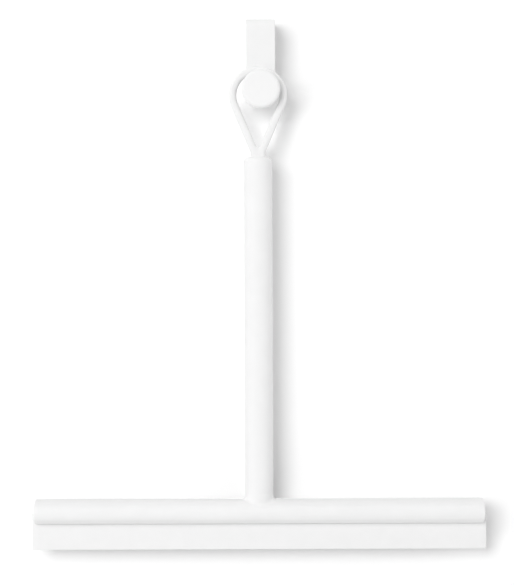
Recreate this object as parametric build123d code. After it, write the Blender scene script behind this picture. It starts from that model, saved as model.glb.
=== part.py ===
from build123d import *
import math
import os

# Window squeegee hanging on a hook that sits over the top edge of a glass screen.
# Millimetres. The origin is the middle of the seat that rests on the glass edge.
# X runs along the blade, -Y is the front and +Z is up.

# Glass screen and hook strap
glass_thickness = 8.0
glass_slip = 0.4
pad_thickness = 2.0
top_pad_thickness = 1.5
strap_thickness = 2.0
strap_width = 16.0
strap_bend_radius = 5.0
strap_edge_radius = 0.4
back_leg_drop = 32.0
back_leg_corner = 5.0

# Pads
pad_margin = 1.6
pad_top_drop = 5.0
pad_corner = 4.0
pad_edge_radius = 0.5
front_pad_below_peg = 5.5
back_pad_end_margin = 4.0
top_pad_bend_clearance = 0.1

# Knob, measured from the strap
peg_drop = 36.8
knob_radius = 10.5
knob_thickness = 3.2
knob_front_rounding = 1.8
knob_back_rounding = 0.6
core_radius = 6.4
running_clearance = 0.05
sleeve_radius = 8.2
collar_step = 0.8
collar_length = 3.0
sleeve_end_play = 0.1
washer_thickness = 0.8
washer_margin = 0.3
insert_radius = 3.2
insert_length = 9.0
insert_bore_relief = 1.5
knob_screw_radius = 2.0
knob_screw_grip = 7.5
knob_screw_head_radius = 3.8
knob_screw_head_height = 1.8
screw_hole_clearance = 0.1
hex_key_size = 2.5
hex_key_depth = 1.0

# Where the squeegee hangs
loop_to_knob_gap = 3.0
head_to_glass_gap = 0.6
hang_angle = 28.5
loop_seat_gap = 0.15

# Hanging loop
loop_inner_radius = 11.7
loop_band = 4.15
loop_half_angle = 23.0
loop_crotch_radius = 1.25
loop_shoulder_radius = 3.0
loop_thickness = 4.0
loop_edge_share = 0.41
neck_width = 8.1
loop_centre_to_handle = 33.7
tail_length = 18.5
tail_pin_depth = 11.5
pin_radius = 1.5
pin_end_gap = 0.3
pin_clearance = 0.05

# Handle
handle_radius = 7.6
handle_length = 186.0
tube_wall = 1.2
plug_flange = 3.2
plug_top_rounding = 2.6
plug_floor = 3.0
plug_clearance = 0.1
tail_clearance = 0.1
socket_collar = 3.2
socket_fillet = 1.8
socket_fillet_share = 0.8
spigot_length = 24.0
boss_radius = 4.9

# Head bar
head_length = 244.0
head_half_depth = 10.0
head_half_height = 6.75
head_nose_radius = 5.0
head_wall = 1.6
cap_thickness = 2.0
cap_edge_radius = 0.8
cap_peg_length = 6.0
cap_peg_clearance = 0.15
channel_half_width = 3.4
channel_roof = -0.9
channel_floor = -4.4
mouth_half_width = 1.7
roof_web_top = 2.1
rib = 1.4
handle_screw_radius = 1.75
handle_screw_head_radius = 3.1
handle_screw_head_height = 1.45
handle_screw_grip = 14.0
pilot_relief = 1.0

# Blade
blade_overhang = 1.5
carrier_overhang = 1.0
slide_clearance = 0.2
stem_clearance = 0.5
flex_gap = 0.3
lip_root_thickness = 2.6
lip_tip_thickness = 1.6
lip_reach = 14.0

# Worked out from the sizes above
glass_half_gap = (glass_thickness + glass_slip) / 2
strap_inner = glass_half_gap + pad_thickness
strap_outer = strap_inner + strap_thickness
strap_top = top_pad_thickness + strap_thickness
strap_face = -strap_outer
peg_z = -peg_drop
pad_width = strap_width - 2 * pad_margin
front_pad_drop = peg_drop + front_pad_below_peg
back_pad_drop = back_leg_drop - back_pad_end_margin
top_pad_depth = 2 * (strap_inner - strap_bend_radius + strap_thickness - top_pad_bend_clearance)
washer_radius = strap_width / 2 - washer_margin
collar_radius = sleeve_radius + collar_step
axis_y = -(glass_thickness / 2 + head_to_glass_gap + head_half_depth)
loop_offset = loop_inner_radius - sleeve_radius - loop_seat_gap
axis_x = -loop_offset * math.sin(math.radians(hang_angle))
loop_z = peg_z - loop_offset * math.cos(math.radians(hang_angle))
loop_edge_radius = loop_edge_share * min(loop_thickness, loop_band)
loop_front = axis_y - loop_thickness / 2
knob_back = loop_front - loop_to_knob_gap
handle_top = loop_z - loop_centre_to_handle
tube_bore = handle_radius - tube_wall
plug_radius = tube_bore - plug_clearance
plug_length = tail_length + plug_floor
pin_length = 2 * (plug_radius - pin_end_gap)
tube_top = handle_top - plug_flange
head_z = handle_top - handle_length - head_half_height
tube_bottom = head_z + head_half_height + socket_collar
flex_z = head_z - head_half_height - lip_root_thickness / 2

FRONT = (0, -1, 0)
UP = (0, 0, 1)


def rod(radius, start, direction, length):
    """Round bar from a start point along a direction."""
    return extrude(Plane(origin=start, z_dir=direction) * Circle(radius), amount=length)


def taper(start_radius, end_radius, start, direction, length):
    """Cone frustum from a start point along a direction."""
    cone = Cone(start_radius, end_radius, length, align=(Align.CENTER, Align.CENTER, Align.MIN))
    return Plane(origin=start, z_dir=direction) * cone


def hex_recess(start, direction):
    """Six-sided key socket in a screw head."""
    outline = RegularPolygon(hex_key_size / 2, 6, major_radius=False)
    return extrude(Plane(origin=start, z_dir=direction) * outline, amount=hex_key_depth)


def span(shape, low, high):
    """Extrude an upright XZ outline between two Y positions."""
    return extrude(Plane((0, high, 0), x_dir=(1, 0, 0), z_dir=FRONT) * shape, amount=high - low)


def bar(section, length):
    """Extrude a YZ section along X, centred on the squeegee axis at the head."""
    return Pos(axis_x, axis_y, head_z) * extrude(Plane.YZ * section, amount=length / 2, both=True)


def oval(inset):
    """The bar's outline of four tangent arcs, shrunk by an inset."""
    depth = head_half_depth - inset
    height = head_half_height - inset
    nose = head_nose_radius - inset
    nose_y = depth - nose
    crown = (nose_y**2 + height**2 - nose**2) / (2 * (height - nose))
    angle = math.atan2(crown - height, nose_y)
    join_y = nose_y + nose * math.cos(angle)
    join_z = nose * math.sin(angle)
    arcs = [
        ThreePointArc((join_y, -join_z), (depth, 0), (join_y, join_z)),
        ThreePointArc((join_y, join_z), (0, height), (-join_y, join_z)),
        ThreePointArc((-join_y, join_z), (-depth, 0), (-join_y, -join_z)),
        ThreePointArc((-join_y, -join_z), (0, -height), (join_y, -join_z)),
    ]
    return make_face(Curve() + arcs)


def block(y_low, y_high, z_low, z_high):
    """Rectangle in a YZ section between given edges."""
    middle = Pos((y_low + y_high) / 2, (z_low + z_high) / 2)
    return middle * Rectangle(y_high - y_low, z_high - z_low)


# Hook strap: a strip bent twice over the glass, its front end round about the knob
def make_hook_strap():
    reach = 2 * (peg_drop + strap_width)
    outer = RectangleRounded(2 * strap_outer, reach, strap_bend_radius)
    inner = RectangleRounded(2 * strap_inner, reach, strap_bend_radius - strap_thickness)
    outline = Pos(0, strap_top - reach / 2) * outer - Pos(0, top_pad_thickness - reach / 2) * inner
    strip = extrude(Plane.YZ * outline, amount=strap_width / 2, both=True)
    front_height = peg_drop + 2 * strap_top
    front_shape = Pos(0, peg_z + front_height / 2) * Rectangle(strap_width, front_height)
    front_shape += Pos(0, peg_z) * Circle(strap_width / 2)
    back_height = back_leg_drop + 4 * strap_top
    back_shape = Pos(0, back_height / 2 - back_leg_drop)
    back_shape *= RectangleRounded(strap_width, back_height, back_leg_corner)
    envelope = span(front_shape, -2 * strap_outer, 0) + span(back_shape, 0, 2 * strap_outer)
    strap = strip & envelope
    strap = fillet(strap.edges(), strap_edge_radius)
    hole_radius = knob_screw_radius + screw_hole_clearance
    sink_radius = knob_screw_head_radius + screw_hole_clearance
    start = (0, -strap_inner, peg_z)
    strap -= rod(hole_radius, start, FRONT, 2 * strap_thickness)
    strap -= taper(sink_radius, hole_radius, start, FRONT, knob_screw_head_height)
    return strap


# Soft pads bonded to the inside of the strap
def make_side_pad(face_y, back_y, drop):
    height = drop - pad_top_drop
    outline = Pos(0, -pad_top_drop - height / 2) * RectangleRounded(pad_width, height, pad_corner)
    pad = span(outline, min(face_y, back_y), max(face_y, back_y))
    rim = pad.faces().sort_by(Axis.Y)[-1 if face_y > back_y else 0]
    return fillet(rim.edges(), pad_edge_radius)


def make_top_pad():
    align = (Align.CENTER, Align.CENTER, Align.MIN)
    pad = Box(pad_width, top_pad_depth, top_pad_thickness, align=align)
    return fillet(pad.edges().filter_by(Axis.Z), pad_edge_radius)


# Knob: rounded disc with a core that runs back to the strap
def make_knob():
    disc = rod(knob_radius, (0, knob_back, peg_z), FRONT, knob_thickness)
    rims = disc.edges().sort_by(Axis.Y)
    disc = fillet(rims[0], knob_front_rounding)
    rims = disc.edges().filter_by(GeomType.CIRCLE).sort_by(Axis.Y)
    disc = fillet(rims[-1], knob_back_rounding)
    core = rod(core_radius, (0, strap_face, peg_z), FRONT, strap_face - knob_back)
    bore_depth = insert_length + insert_bore_relief
    bore = rod(insert_radius, (0, strap_face, peg_z), FRONT, bore_depth)
    return disc + core - bore


def make_knob_insert():
    start = (0, strap_face, peg_z)
    hole = rod(knob_screw_radius + screw_hole_clearance / 2, start, FRONT, insert_length)
    return rod(insert_radius, start, FRONT, insert_length) - hole


def make_knob_screw():
    start = (0, -strap_inner, peg_z)
    head = taper(knob_screw_head_radius, knob_screw_radius, start, FRONT, knob_screw_head_height)
    shank = rod(knob_screw_radius, start, FRONT, strap_thickness + knob_screw_grip)
    return head + shank - hex_recess(start, FRONT)


def make_sleeve_washer():
    start = (0, strap_face, peg_z)
    hole = rod(core_radius + running_clearance, start, FRONT, washer_thickness)
    return rod(washer_radius, start, FRONT, washer_thickness) - hole


# Sleeve that turns on the core; its collar keeps the loop off the strap
def make_knob_sleeve():
    rear = strap_face - washer_thickness - sleeve_end_play
    length = rear - knob_back - sleeve_end_play
    start = (0, rear, peg_z)
    sleeve = rod(sleeve_radius, start, FRONT, length)
    sleeve += rod(collar_radius, start, FRONT, collar_length)
    return sleeve - rod(core_radius + running_clearance, start, FRONT, length)


def teardrop(radius):
    """Circle with two straight sides running down to a point."""
    angle = math.radians(loop_half_angle)
    side_x = radius * math.cos(angle)
    side_z = -radius * math.sin(angle)
    point = (0, -radius / math.sin(angle))
    sides = Polygon((0, 0), (-side_x, side_z), point, (side_x, side_z), align=None)
    return Circle(radius) + sides


# Hanging loop with a neck and a tail that is pinned inside the handle
def make_hanging_loop():
    outer = teardrop(loop_inner_radius + loop_band)
    tail_end = -loop_centre_to_handle - tail_length
    neck_top = -loop_inner_radius / math.sin(math.radians(loop_half_angle))
    neck_height = neck_top - tail_end
    neck = Pos(0, tail_end + neck_height / 2) * Rectangle(neck_width, neck_height)
    outline = outer + neck
    shoulders = [v for v in outline.vertices() if is_shoulder(v)]
    outline = fillet(shoulders, loop_shoulder_radius)
    eye = teardrop(loop_inner_radius)
    eye = fillet(eye.vertices().sort_by(Axis.Y)[0], loop_crotch_radius)
    loop = span(Pos(axis_x, loop_z) * (outline - eye), loop_front, loop_front + loop_thickness)
    faces = loop.faces().sort_by(Axis.Y)
    loop = fillet(faces[0].edges() + faces[-1].edges(), loop_edge_radius)
    hole_start = (axis_x, loop_front + loop_thickness, handle_top - tail_pin_depth)
    return loop - rod(pin_radius + pin_clearance, hole_start, FRONT, loop_thickness)


def is_shoulder(vertex):
    """True where a side of the loop meets the neck above the handle."""
    beside_neck = abs(abs(vertex.X) - neck_width / 2) < 0.01
    return beside_neck and vertex.Y > -loop_centre_to_handle


def make_loop_pin():
    start = (axis_x, axis_y + pin_length / 2, handle_top - tail_pin_depth)
    return rod(pin_radius, start, FRONT, pin_length)


# Plug that closes the top of the handle and takes the loop's tail
def make_handle_end_plug():
    flange = rod(handle_radius, (axis_x, axis_y, tube_top), UP, plug_flange)
    flange = fillet(flange.edges().sort_by(Axis.Z)[-1], plug_top_rounding)
    body_start = (axis_x, axis_y, handle_top - plug_length)
    plug = flange + rod(plug_radius, body_start, UP, plug_length - plug_flange)
    slot = Box(neck_width + 2 * tail_clearance, loop_thickness + 2 * tail_clearance, 2 * tail_length)
    plug -= Pos(axis_x, axis_y, handle_top - tail_clearance) * slot
    hole_start = (axis_x, axis_y + handle_radius, handle_top - tail_pin_depth)
    return plug - rod(pin_radius + pin_clearance, hole_start, FRONT, 2 * handle_radius)


def make_handle_tube():
    start = (axis_x, axis_y, tube_bottom)
    length = tube_top - tube_bottom
    return rod(handle_radius, start, UP, length) - rod(tube_bore, start, UP, length)


# Socket: spigot in the tube, flared foot on the bar, boss down to the roof web
def make_handle_socket():
    bar_piece = bar(oval(0), 6 * handle_radius)
    axis_point = (axis_x, axis_y, head_z)
    post = rod(handle_radius, axis_point, UP, head_half_height + socket_collar)
    joined = bar_piece + post
    ring = [e for e in joined.edges() if is_foot_edge(e)]
    room = socket_fillet_share * (head_half_depth - handle_radius)
    foot = fillet(ring, min(socket_fillet, room)) - bar_piece
    boss_start = (axis_x, axis_y, head_z + roof_web_top)
    boss = rod(boss_radius, boss_start, UP, tube_bottom - boss_start[2])
    spigot = rod(plug_radius, (axis_x, axis_y, tube_bottom), UP, spigot_length)
    pilot_depth = handle_screw_grip + pilot_relief
    pilot = rod(handle_screw_radius + screw_hole_clearance / 2, boss_start, UP, pilot_depth)
    return foot + boss + spigot - pilot


def is_foot_edge(edge):
    """True for the curve where the round post meets the bar."""
    box = edge.bounding_box()
    inside = box.max.X < axis_x + 1.2 * handle_radius and box.min.X > axis_x - 1.2 * handle_radius
    below_top = box.max.Z < tube_bottom - 0.5 * socket_collar
    above_middle = box.min.Z > head_z + 0.1
    return inside and below_top and above_middle


def make_handle_screw():
    start = (axis_x, axis_y, head_z + channel_roof)
    head = taper(handle_screw_head_radius, handle_screw_radius, start, UP, handle_screw_head_height)
    shank_length = roof_web_top - channel_roof + handle_screw_grip
    return head + rod(handle_screw_radius, start, UP, shank_length) - hex_recess(start, UP)


def channel_section():
    """Blade channel and its open mouth in the bar's section."""
    channel = block(-channel_half_width, channel_half_width, channel_floor, channel_roof)
    mouth = block(-mouth_half_width, mouth_half_width, -2 * head_half_height, channel_floor)
    return channel + mouth


def chamber_sections(inset):
    """The three hollow chambers of the bar's section, shrunk by an inset."""
    inside = oval(head_wall + inset)
    reach = 2 * head_half_depth
    side = channel_half_width + rib + inset
    side_top = roof_web_top - rib - inset
    top = inside & block(-reach, reach, roof_web_top + inset, reach)
    front = inside & block(-reach, -side, channel_floor + inset, side_top)
    back = inside & block(side, reach, channel_floor + inset, side_top)
    return [top, front, back]


# Head bar: hollow section with the blade channel along its underside
def make_head_profile():
    section = oval(0) - channel_section()
    for chamber in chamber_sections(0):
        section -= chamber
    profile = bar(section, head_length - 2 * cap_thickness)
    roof = (axis_x, axis_y, head_z + channel_roof)
    hole_radius = handle_screw_radius + screw_hole_clearance
    sink_radius = handle_screw_head_radius + screw_hole_clearance
    profile -= rod(hole_radius, roof, UP, head_half_height)
    profile -= taper(sink_radius, hole_radius, roof, UP, handle_screw_head_height)
    boss_start = (axis_x, axis_y, head_z + roof_web_top)
    return profile - rod(boss_radius + plug_clearance, boss_start, UP, head_half_height)


# End caps with pegs in the chambers and the channel left open for the blade
def make_end_cap(side):
    inner_x = side * (head_length / 2 - cap_thickness)
    plate = extrude(Plane.YZ * oval(0), amount=side * cap_thickness)
    outer_face = plate.faces().sort_by(Axis.X)[-1 if side > 0 else 0]
    plate = fillet(outer_face.edges(), cap_edge_radius)
    plate -= extrude(Plane.YZ * channel_section(), amount=2 * cap_thickness, both=True)
    for chamber in chamber_sections(cap_peg_clearance):
        plate += extrude(Plane.YZ * chamber, amount=-side * cap_peg_length)
    return Pos(axis_x + inner_x, axis_y, head_z) * plate


# Stiff carrier strip that slides in the channel
def make_blade_carrier():
    half_width = channel_half_width - slide_clearance
    low = channel_floor + slide_clearance
    section = block(-half_width, half_width, low, channel_roof - slide_clearance)
    stem_end = -head_half_height + flex_gap
    stem_half_width = mouth_half_width - stem_clearance
    section += block(-stem_half_width, stem_half_width, stem_end, low)
    return bar(section, head_length + 2 * carrier_overhang)


# Soft lip: round at the flex line, thinner towards the wiping edge
def make_blade_lip():
    root = lip_root_thickness / 2
    tip = lip_tip_thickness / 2
    flex = flex_z - head_z
    tip_z = -head_half_height - lip_reach
    taper_outline = Polygon((-root, flex), (-tip, tip_z), (tip, tip_z), (root, flex), align=None)
    return bar(Pos(0, flex) * Circle(root) + taper_outline, head_length + 2 * blade_overhang)


nodes = {
    "hook_strap": make_hook_strap(),
    "top_pad": make_top_pad(),
    "front_pad": make_side_pad(-glass_half_gap, -strap_inner, front_pad_drop),
    "back_pad": make_side_pad(glass_half_gap, strap_inner, back_pad_drop),
    "knob": make_knob(),
    "knob_insert": make_knob_insert(),
    "knob_screw": make_knob_screw(),
    "sleeve_washer": make_sleeve_washer(),
    "knob_sleeve": make_knob_sleeve(),
    "hanging_loop": make_hanging_loop(),
    "loop_pin": make_loop_pin(),
    "handle_end_plug": make_handle_end_plug(),
    "handle_tube": make_handle_tube(),
    "handle_socket": make_handle_socket(),
    "handle_screw": make_handle_screw(),
    "head_profile": make_head_profile(),
    "left_end_cap": make_end_cap(-1),
    "right_end_cap": make_end_cap(1),
    "blade_carrier": make_blade_carrier(),
    "blade_lip": make_blade_lip(),
}

os.makedirs("parts", exist_ok=True)
for name, shape in nodes.items():
    export_step(shape, f"parts/{name}.step")
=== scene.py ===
import math

import bmesh
import bpy
from mathutils import Matrix, Vector


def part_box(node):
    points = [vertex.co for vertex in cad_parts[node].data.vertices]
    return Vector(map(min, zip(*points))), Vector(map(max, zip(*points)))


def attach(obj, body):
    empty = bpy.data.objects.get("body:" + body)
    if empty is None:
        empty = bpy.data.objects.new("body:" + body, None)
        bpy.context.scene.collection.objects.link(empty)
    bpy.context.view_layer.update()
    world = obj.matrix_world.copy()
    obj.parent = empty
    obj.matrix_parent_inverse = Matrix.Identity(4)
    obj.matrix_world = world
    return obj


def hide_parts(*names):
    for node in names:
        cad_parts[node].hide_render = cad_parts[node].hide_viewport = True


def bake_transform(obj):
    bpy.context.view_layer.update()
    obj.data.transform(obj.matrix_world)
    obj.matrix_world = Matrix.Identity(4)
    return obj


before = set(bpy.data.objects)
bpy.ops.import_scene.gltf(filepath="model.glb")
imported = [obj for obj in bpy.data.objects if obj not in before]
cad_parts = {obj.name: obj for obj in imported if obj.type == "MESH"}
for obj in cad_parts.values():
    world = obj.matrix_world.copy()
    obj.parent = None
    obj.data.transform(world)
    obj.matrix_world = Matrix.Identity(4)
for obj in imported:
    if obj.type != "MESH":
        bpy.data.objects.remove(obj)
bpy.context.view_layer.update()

# Lengths are in metres unless a comment says mm; the bar's centre is read from the frame
MM = 0.001
X, Y, Z = 0, 1, 2
bar_low, bar_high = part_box("head_profile")
AXIS_X, AXIS_Y, HEAD_Z = [(a + b) / 2 for a, b in zip(bar_low, bar_high)]

# Range that noise mostly covers, bend that still looks smooth, and a quarter circle in three steps
NOISE_LOW, NOISE_HIGH = 0.3, 0.7
SMOOTH_ANGLE = math.radians(35)
QUARTER = [math.radians(30 * step) for step in range(4)]

scene = bpy.context.scene
scene.view_settings.view_transform = "Standard"


# Node helpers

def map_range(nodes, links, value, start, end, low, high):
    """Map a value from one range to another."""
    ramp = nodes.new("ShaderNodeMapRange")
    ramp.inputs["From Min"].default_value = start
    ramp.inputs["From Max"].default_value = end
    ramp.inputs["To Min"].default_value = low
    ramp.inputs["To Max"].default_value = high
    links.new(value, ramp.inputs["Value"])
    return ramp.outputs["Result"]


def calculate(nodes, links, operation, *values):
    """Math node whose inputs are other outputs or plain numbers."""
    node = nodes.new("ShaderNodeMath")
    node.operation = operation
    for slot, value in zip(node.inputs, values):
        if isinstance(value, bpy.types.NodeSocket):
            links.new(value, slot)
        else:
            slot.default_value = value
    return node.outputs[0]


def choose(nodes, links, share, first, second):
    """Mix of two shaders: the first at a share of 0, the second at 1."""
    mix = nodes.new("ShaderNodeMixShader")
    links.new(share, mix.inputs["Fac"])
    links.new(first, mix.inputs[1])
    links.new(second, mix.inputs[2])
    return mix.outputs[0]


def grey(level):
    """Colour with three equal parts."""
    return (level, level, level, 1)


# Materials

def new_material(name):
    """Empty node material with its shader, object coordinates and output in place."""
    material = bpy.data.materials.new(name)
    material.use_nodes = True
    nodes, links = material.node_tree.nodes, material.node_tree.links
    nodes.clear()
    output = nodes.new("ShaderNodeOutputMaterial")
    shader = nodes.new("ShaderNodeBsdfPrincipled")
    place = nodes.new("ShaderNodeTexCoord")
    links.new(shader.outputs["BSDF"], output.inputs["Surface"])
    return material, nodes, links, shader, place.outputs["Object"]


def noise(nodes, links, place, size, detail):
    """Noise whose grains are about the given size."""
    texture = nodes.new("ShaderNodeTexNoise")
    texture.inputs["Scale"].default_value = 1.0 / size
    texture.inputs["Detail"].default_value = detail
    links.new(place, texture.inputs["Vector"])
    return texture.outputs["Fac"]


def spread(nodes, links, value, low, high):
    """Map a noise value to a range."""
    return map_range(nodes, links, value, NOISE_LOW, NOISE_HIGH, low, high)


def tint(nodes, links, value, dark, light):
    """Mix two close colours by a noise value."""
    ramp = nodes.new("ShaderNodeValToRGB")
    first, second = ramp.color_ramp.elements
    first.position = NOISE_LOW
    first.color = dark
    second.position = NOISE_HIGH
    second.color = light
    links.new(value, ramp.inputs["Fac"])
    return ramp.outputs["Color"]


def bump(nodes, links, value, height, strength, below=None):
    """Bump from a noise value, stacked on an earlier bump if one is given."""
    node = nodes.new("ShaderNodeBump")
    node.inputs["Distance"].default_value = height
    node.inputs["Strength"].default_value = strength
    links.new(value, node.inputs["Height"])
    if below:
        links.new(below, node.inputs["Normal"])
    return node.outputs["Normal"]


def dress(links, shader, colour, roughness, normal):
    """Give a shader its colour, roughness and bump."""
    links.new(colour, shader.inputs["Base Color"])
    links.new(roughness, shader.inputs["Roughness"])
    links.new(normal, shader.inputs["Normal"])


def powder_coat():
    """Matte white powder coat: soft orange peel and faint cloudiness."""
    material, nodes, links, shader, place = new_material("white_powder_coat")
    cloud = noise(nodes, links, place, size=9 * MM, detail=3)
    peel = noise(nodes, links, place, size=0.9 * MM, detail=2)
    grain = noise(nodes, links, place, size=0.25 * MM, detail=1)
    colour = tint(nodes, links, cloud, dark=grey(0.858), light=grey(0.878))
    roughness = spread(nodes, links, cloud, low=0.60, high=0.70)
    soft = bump(nodes, links, peel, height=0.02 * MM, strength=0.5)
    fine = bump(nodes, links, grain, height=0.006 * MM, strength=0.4, below=soft)
    dress(links, shader, colour, roughness, fine)
    shader.inputs["Specular IOR Level"].default_value = 0.35
    return material


def moulded_plastic():
    """Matte white moulding with a fine spark-eroded skin."""
    material, nodes, links, shader, place = new_material("white_moulded_plastic")
    cloud = noise(nodes, links, place, size=12 * MM, detail=2)
    skin = noise(nodes, links, place, size=0.18 * MM, detail=2)
    colour = tint(nodes, links, cloud, dark=grey(0.866), light=grey(0.884))
    roughness = spread(nodes, links, skin, low=0.54, high=0.66)
    fine = bump(nodes, links, skin, height=0.008 * MM, strength=0.5)
    dress(links, shader, colour, roughness, fine)
    shader.inputs["Specular IOR Level"].default_value = 0.4
    return material


def silicone():
    """Matte white silicone: light sinks in a little and fine dust dulls it."""
    material, nodes, links, shader, place = new_material("white_silicone")
    cloud = noise(nodes, links, place, size=7 * MM, detail=3)
    dust = noise(nodes, links, place, size=0.3 * MM, detail=3)
    colour = tint(nodes, links, cloud, dark=grey(0.852), light=grey(0.870))
    roughness = spread(nodes, links, dust, low=0.52, high=0.66)
    fine = bump(nodes, links, dust, height=0.006 * MM, strength=0.35)
    dress(links, shader, colour, roughness, fine)
    shader.inputs["Subsurface Weight"].default_value = 0.06
    shader.inputs["Subsurface Radius"].default_value = (1, 1, 1)
    shader.inputs["Subsurface Scale"].default_value = 0.8 * MM
    return material


def turned_metal(name, dark, light):
    """Bare metal of the hidden fasteners, with fine turning marks."""
    material, nodes, links, shader, place = new_material(name)
    marks = noise(nodes, links, place, size=0.4 * MM, detail=4)
    colour = tint(nodes, links, marks, dark, light)
    roughness = spread(nodes, links, marks, low=0.22, high=0.38)
    fine = bump(nodes, links, marks, height=0.01 * MM, strength=0.4)
    dress(links, shader, colour, roughness, fine)
    shader.inputs["Metallic"].default_value = 1.0
    return material


coat = powder_coat()
plastic = moulded_plastic()
rubber = silicone()
steel = turned_metal("plain_steel", dark=(0.50, 0.50, 0.51, 1), light=(0.62, 0.62, 0.63, 1))
brass = turned_metal("plain_brass", dark=(0.62, 0.46, 0.20, 1), light=(0.76, 0.58, 0.28, 1))

node_materials = {
    "hook_strap": coat,
    "handle_tube": coat,
    "head_profile": coat,
    "knob": plastic,
    "knob_sleeve": plastic,
    "sleeve_washer": plastic,
    "handle_end_plug": plastic,
    "handle_socket": plastic,
    "left_end_cap": plastic,
    "right_end_cap": plastic,
    "blade_carrier": plastic,
    "hanging_loop": rubber,
    "top_pad": rubber,
    "front_pad": rubber,
    "back_pad": rubber,
    "blade_lip": rubber,
    "knob_insert": brass,
    "knob_screw": steel,
    "handle_screw": steel,
    "loop_pin": steel,
}
for name, material in node_materials.items():
    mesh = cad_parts[name].data
    mesh.materials.clear()
    mesh.materials.append(material)


# Mesh pieces

def add_piece(name, points, faces, material):
    """Mesh object with outward faces, smooth apart from its sharp edges."""
    mesh = bpy.data.meshes.new(name)
    mesh.from_pydata(points, [], faces)
    work = bmesh.new()
    work.from_mesh(mesh)
    bmesh.ops.recalc_face_normals(work, faces=work.faces)
    work.to_mesh(mesh)
    work.free()
    mesh.shade_smooth()
    mesh.set_sharp_from_angle(angle=SMOOTH_ANGLE)
    mesh.materials.append(material)
    piece = bpy.data.objects.new(name, mesh)
    scene.collection.objects.link(piece)
    return piece


def tube_faces(rings, size):
    """Faces of a tube through rings of points, closed at both ends."""
    faces = []
    for ring in range(rings - 1):
        for index in range(size):
            a = ring * size + index
            b = ring * size + (index + 1) % size
            faces.append((a, b, b + size, a + size))
    faces.append(tuple(range(size)))
    faces.append(tuple(range((rings - 1) * size, rings * size)))
    return faces


def blade_outline():
    """Half of the blade's section as (y, z) in mm from the bar's centre, from the tip up."""
    lip_low, lip_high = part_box("blade_lip")
    carrier_low, carrier_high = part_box("blade_carrier")
    tip_z = (lip_low[Z] - HEAD_Z) / MM
    root = (lip_high[Y] - lip_low[Y]) / 2 / MM
    root_z = (bar_low[Z] - HEAD_Z) / MM - root
    carrier = (carrier_high[Y] - carrier_low[Y]) / 2 / MM
    roof_z = (carrier_high[Z] - HEAD_Z) / MM
    tip, tip_round, taper_steps = 0.8, 0.25, 16
    neck = [(1.29, -7.5), (1.25, -6.9), (1.2, -6.4), (1.2, -5.3)]
    stem, shoulder_z, bevel = 1.2, -4.2, 0.2
    taper_z = tip_z + tip_round
    half = []
    for angle in QUARTER:
        half.append((tip - tip_round + tip_round * math.sin(angle), taper_z - tip_round * math.cos(angle)))
    for step in range(1, taper_steps + 1):
        share = step / taper_steps
        half.append((tip + (root - tip) * share, taper_z + (root_z - taper_z) * share))
    half += neck
    half += [(stem, shoulder_z), (carrier - bevel, shoulder_z), (carrier, shoulder_z + bevel)]
    half += [(carrier, roof_z - bevel), (carrier - bevel, roof_z)]
    return half


def blade_stations(reach):
    """Places along the blade in mm, each with how far its sides draw in there."""
    softened_end = [(0.0, 0.3), (0.1, 0.12), (0.35, 0.0)]
    count = 50
    stations = [(-reach + along, inset) for along, inset in softened_end]
    stations += [(-reach + 2 * reach * step / count, 0.0) for step in range(1, count)]
    stations += [(reach - along, inset) for along, inset in reversed(softened_end)]
    return stations


def make_blade():
    """One strip: stiff bar in the channel, then the soft lip, with softened ends."""
    lip_low, lip_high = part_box("blade_lip")
    stations = blade_stations((lip_high[X] - lip_low[X]) / 2 / MM)
    half = blade_outline()
    ring = half + [(-y, z) for y, z in reversed(half)]
    tip_zone = 0.35
    edge_z = half[0][1] + tip_zone
    points = []
    for x, inset in stations:
        for y, z in ring:
            side = math.copysign(min(inset, abs(y)), y)
            lift = inset if z < edge_z else 0.0
            points.append((AXIS_X + x * MM, AXIS_Y + (y - side) * MM, HEAD_Z + (z + lift) * MM))
    blade = add_piece("blade", points, tube_faces(len(stations), len(ring)), rubber)
    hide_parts("blade_carrier", "blade_lip")
    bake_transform(blade)


make_blade()


def pad_slices(length, width, thickness, corner):
    """Rings of a pad with soft edges and ribs across its face, as (along, across, out) in mm."""
    edge, pitch, groove = 0.5, 2.4, 0.4
    end_steps, rib_steps, face_steps = 8, 8, 6
    ends = [corner * (1 - math.cos(math.radians(90 * n / end_steps))) for n in range(end_steps + 1)]
    straight = length - 2 * corner
    count = round(straight / pitch * rib_steps)
    middle = [corner + straight * n / count for n in range(1, count)]
    rings = []
    for along in ends + middle + [length - d for d in reversed(ends)]:
        inward = min(along, length - along)
        half, drop = width / 2, 0.0
        if inward < corner:
            half += math.sqrt(corner**2 - (corner - inward) ** 2) - corner
        if inward < edge:
            drop = edge - math.sqrt(edge**2 - (edge - inward) ** 2)
        wave = 0.5 - 0.5 * math.cos(2 * math.pi * (along - length / 2) / pitch)
        top = thickness - drop - groove * wave * (inward > edge)
        side = [(half, 0.0)]
        for angle in QUARTER:
            side.append((half - edge + edge * math.cos(angle), top - edge + edge * math.sin(angle)))
        face = [((half - edge) * (1 - 2 * n / face_steps), top) for n in range(1, face_steps)]
        ring = side + face + [(-across, out) for across, out in reversed(side)]
        rings.append([(along, across, out) for across, out in ring])
    return rings


def make_pad(node, along, across, out, outward, corner):
    """Ribbed pad in the space of its CAD solid; it faces up or down the axis called out."""
    low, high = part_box(node)
    size = [(b - a) / MM for a, b in zip(low, high)]
    rings = pad_slices(size[along], size[across], size[out], corner)
    points = []
    for ring in rings:
        for u, v, w in ring:
            point = [0.0, 0.0, 0.0]
            point[along] = low[along] + u * MM
            point[across] = (low[across] + high[across]) / 2 + v * MM
            point[out] = low[out] + w * MM if outward > 0 else high[out] - w * MM
            points.append(tuple(point))
    pad = add_piece("ribbed_" + node, points, tube_faces(len(rings), len(rings[0])), rubber)
    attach(pad, "hook")
    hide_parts(node)


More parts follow.
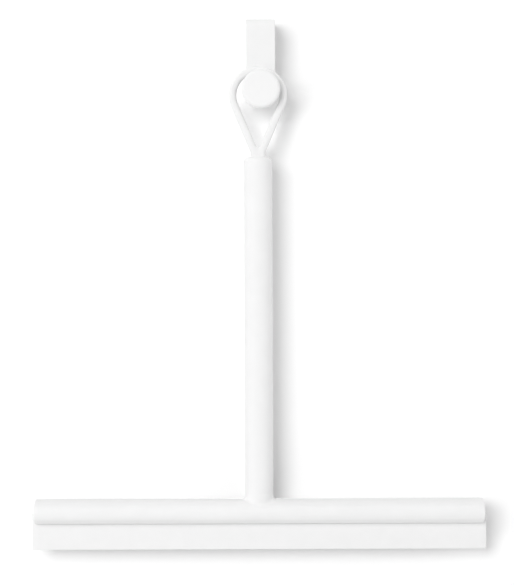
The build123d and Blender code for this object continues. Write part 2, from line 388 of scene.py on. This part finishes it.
make_pad("front_pad", along=Z, across=X, out=Y, outward=1, corner=4.0)
make_pad("back_pad", along=Z, across=X, out=Y, outward=-1, corner=4.0)
make_pad("top_pad", along=X, across=Y, out=Z, outward=-1, corner=0.5)


# Backdrop: a white sheet behind the bar and the handle that curves back behind the hook

def backdrop_material():
    """White that keeps shadows; its back is clear so that rear views see the object."""
    # A little over 1 to the camera, so that only real shadows show on it; duller to bounced light
    seen_level, bounce_level = 1.03, 0.72
    material = bpy.data.materials.new("white_backdrop")
    material.use_nodes = True
    nodes, links = material.node_tree.nodes, material.node_tree.links
    nodes.clear()
    path = nodes.new("ShaderNodeLightPath").outputs
    seen = calculate(nodes, links, "MAXIMUM", path["Is Camera Ray"], path["Is Glossy Ray"])
    seen = calculate(nodes, links, "MAXIMUM", seen, path["Is Transmission Ray"])
    bounce = nodes.new("ShaderNodeBsdfDiffuse")
    bounce.inputs["Color"].default_value = grey(bounce_level)
    white = nodes.new("ShaderNodeBsdfDiffuse")
    white.inputs["Color"].default_value = grey(seen_level)
    front = choose(nodes, links, seen, bounce.outputs[0], white.outputs[0])
    clear = nodes.new("ShaderNodeBsdfTransparent")
    side = nodes.new("ShaderNodeNewGeometry")
    surface = choose(nodes, links, side.outputs["Backfacing"], front, clear.outputs[0])
    output = nodes.new("ShaderNodeOutputMaterial")
    links.new(surface, output.inputs["Surface"])
    return material


def sheet_profile():
    """Points (y, z) up the sheet: level behind the bar and the handle, then eased back behind the hook."""
    handle_gap, hook_gap, reach = 5.2 * MM, 0.4 * MM, 1.5
    bend_low, bend_high, steps = -54 * MM, -33 * MM, 24
    behind_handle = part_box("handle_tube")[1][Y] + handle_gap
    behind_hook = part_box("hook_strap")[1][Y] + hook_gap
    profile = [(behind_handle, -reach)]
    for step in range(steps + 1):
        share = step / steps
        ease = share * share * (3 - 2 * share)
        y = behind_handle + (behind_hook - behind_handle) * ease
        profile.append((y, bend_low + (bend_high - bend_low) * share))
    profile.append((behind_hook, reach))
    return profile


def add_backdrop():
    """Sheet that faces the front, wide enough to fill every view from there."""
    half_width = 4.0
    profile = sheet_profile()
    points = []
    for y, z in profile:
        points += [(-half_width, y, z), (half_width, y, z)]
    faces = [(2 * n, 2 * n + 1, 2 * n + 3, 2 * n + 2) for n in range(len(profile) - 1)]
    mesh = bpy.data.meshes.new("backdrop")
    mesh.from_pydata(points, [], faces)
    mesh.shade_smooth()
    mesh.materials.append(backdrop_material())
    sheet = bpy.data.objects.new("backdrop", mesh)
    scene.collection.objects.link(sheet)
    return sheet


backdrop = add_backdrop()


# Light: white surroundings, a key lamp and a weaker low lamp from the left, and one that lights the back

def set_world(left, right, front, back, down, up, seen):
    """White surroundings with a level for each side, blended in between, and one that the camera sees."""
    world = bpy.data.worlds.new("studio")
    world.use_nodes = True
    nodes, links = world.node_tree.nodes, world.node_tree.links
    nodes.clear()
    place = nodes.new("ShaderNodeTexCoord")
    parts = nodes.new("ShaderNodeSeparateXYZ")
    links.new(place.outputs["Generated"], parts.inputs[0])
    total = 0.0
    for axis, low, high in (("X", left, right), ("Y", front, back), ("Z", down, up)):
        part = parts.outputs[axis]
        side = calculate(nodes, links, "GREATER_THAN", part, 0.0)
        level = map_range(nodes, links, side, 0, 1, low, high)
        square = calculate(nodes, links, "MULTIPLY", part, part)
        total = calculate(nodes, links, "MULTIPLY_ADD", square, level, total)
    light = nodes.new("ShaderNodeBackground")
    light.inputs["Color"].default_value = grey(1)
    links.new(total, light.inputs["Strength"])
    pale = nodes.new("ShaderNodeBackground")
    pale.inputs["Color"].default_value = grey(1)
    pale.inputs["Strength"].default_value = seen
    path = nodes.new("ShaderNodeLightPath")
    surface = choose(nodes, links, path.outputs["Is Camera Ray"], light.outputs[0], pale.outputs[0])
    output = nodes.new("ShaderNodeOutputWorld")
    links.new(surface, output.inputs["Surface"])
    scene.world = world


def add_lamp(name, azimuth, elevation, width, watts):
    """Round lamp aimed at the handle. Angles are in degrees; azimuth 0 is the front, negative is left."""
    distance = 5.0
    target = Vector((0, AXIS_Y, -150 * MM))
    turn, rise = math.radians(azimuth), math.radians(elevation)
    direction = Vector((math.sin(turn) * math.cos(rise), -math.cos(turn) * math.cos(rise), math.sin(rise)))
    lamp = bpy.data.lights.new(name, "AREA")
    lamp.shape = "DISK"
    lamp.size = width
    lamp.energy = watts
    place = bpy.data.objects.new(name, lamp)
    place.location = target + direction * distance
    place.rotation_euler = (-direction).to_track_quat("-Z", "Y").to_euler()
    scene.collection.objects.link(place)
    return place


def pass_sheet(lamp, sheet):
    """Let a lamp behind the sheet light the object through it, without a second bounce."""
    others = bpy.data.collections.new("not_shadowing")
    others.objects.link(sheet)
    others.collection_objects[0].light_linking.link_state = "EXCLUDE"
    lamp.light_linking.blocker_collection = others
    lamp.data.cycles.max_bounces = 0


set_world(left=0.50, right=1.52, front=0.0, back=0.6, down=1.22, up=0.85, seen=0.62)
add_lamp("key", azimuth=-26, elevation=17, width=3.25, watts=144.0)
add_lamp("low", azimuth=-50, elevation=-10, width=3.25, watts=39.0)
back_lamp = add_lamp("back", azimuth=180, elevation=0, width=0.5, watts=90.0)
pass_sheet(back_lamp, backdrop)


# Camera: level with the middle of the handle, a long lens, tilted slightly as in the photograph

def add_camera():
    """Camera in front of the handle; its focal length is in pixels of the photograph's height."""
    focal_pixels, photo_height, sensor = 1651.2, 585, 36.0
    distance, roll = 0.9, math.radians(-0.207)
    middle_x, middle_z = -2.431 * MM, -147.13 * MM
    data = bpy.data.cameras.new("camera")
    data.sensor_width = sensor
    data.lens = focal_pixels * sensor / photo_height
    data.clip_start = 0.05
    data.clip_end = 20
    place = Matrix.Translation((middle_x, AXIS_Y - distance, middle_z))
    level = Matrix.Rotation(math.radians(90), 4, "X")
    camera = bpy.data.objects.new("camera", data)
    camera.matrix_world = place @ level @ Matrix.Rotation(roll, 4, "Z")
    scene.collection.objects.link(camera)
    scene.camera = camera


add_camera()
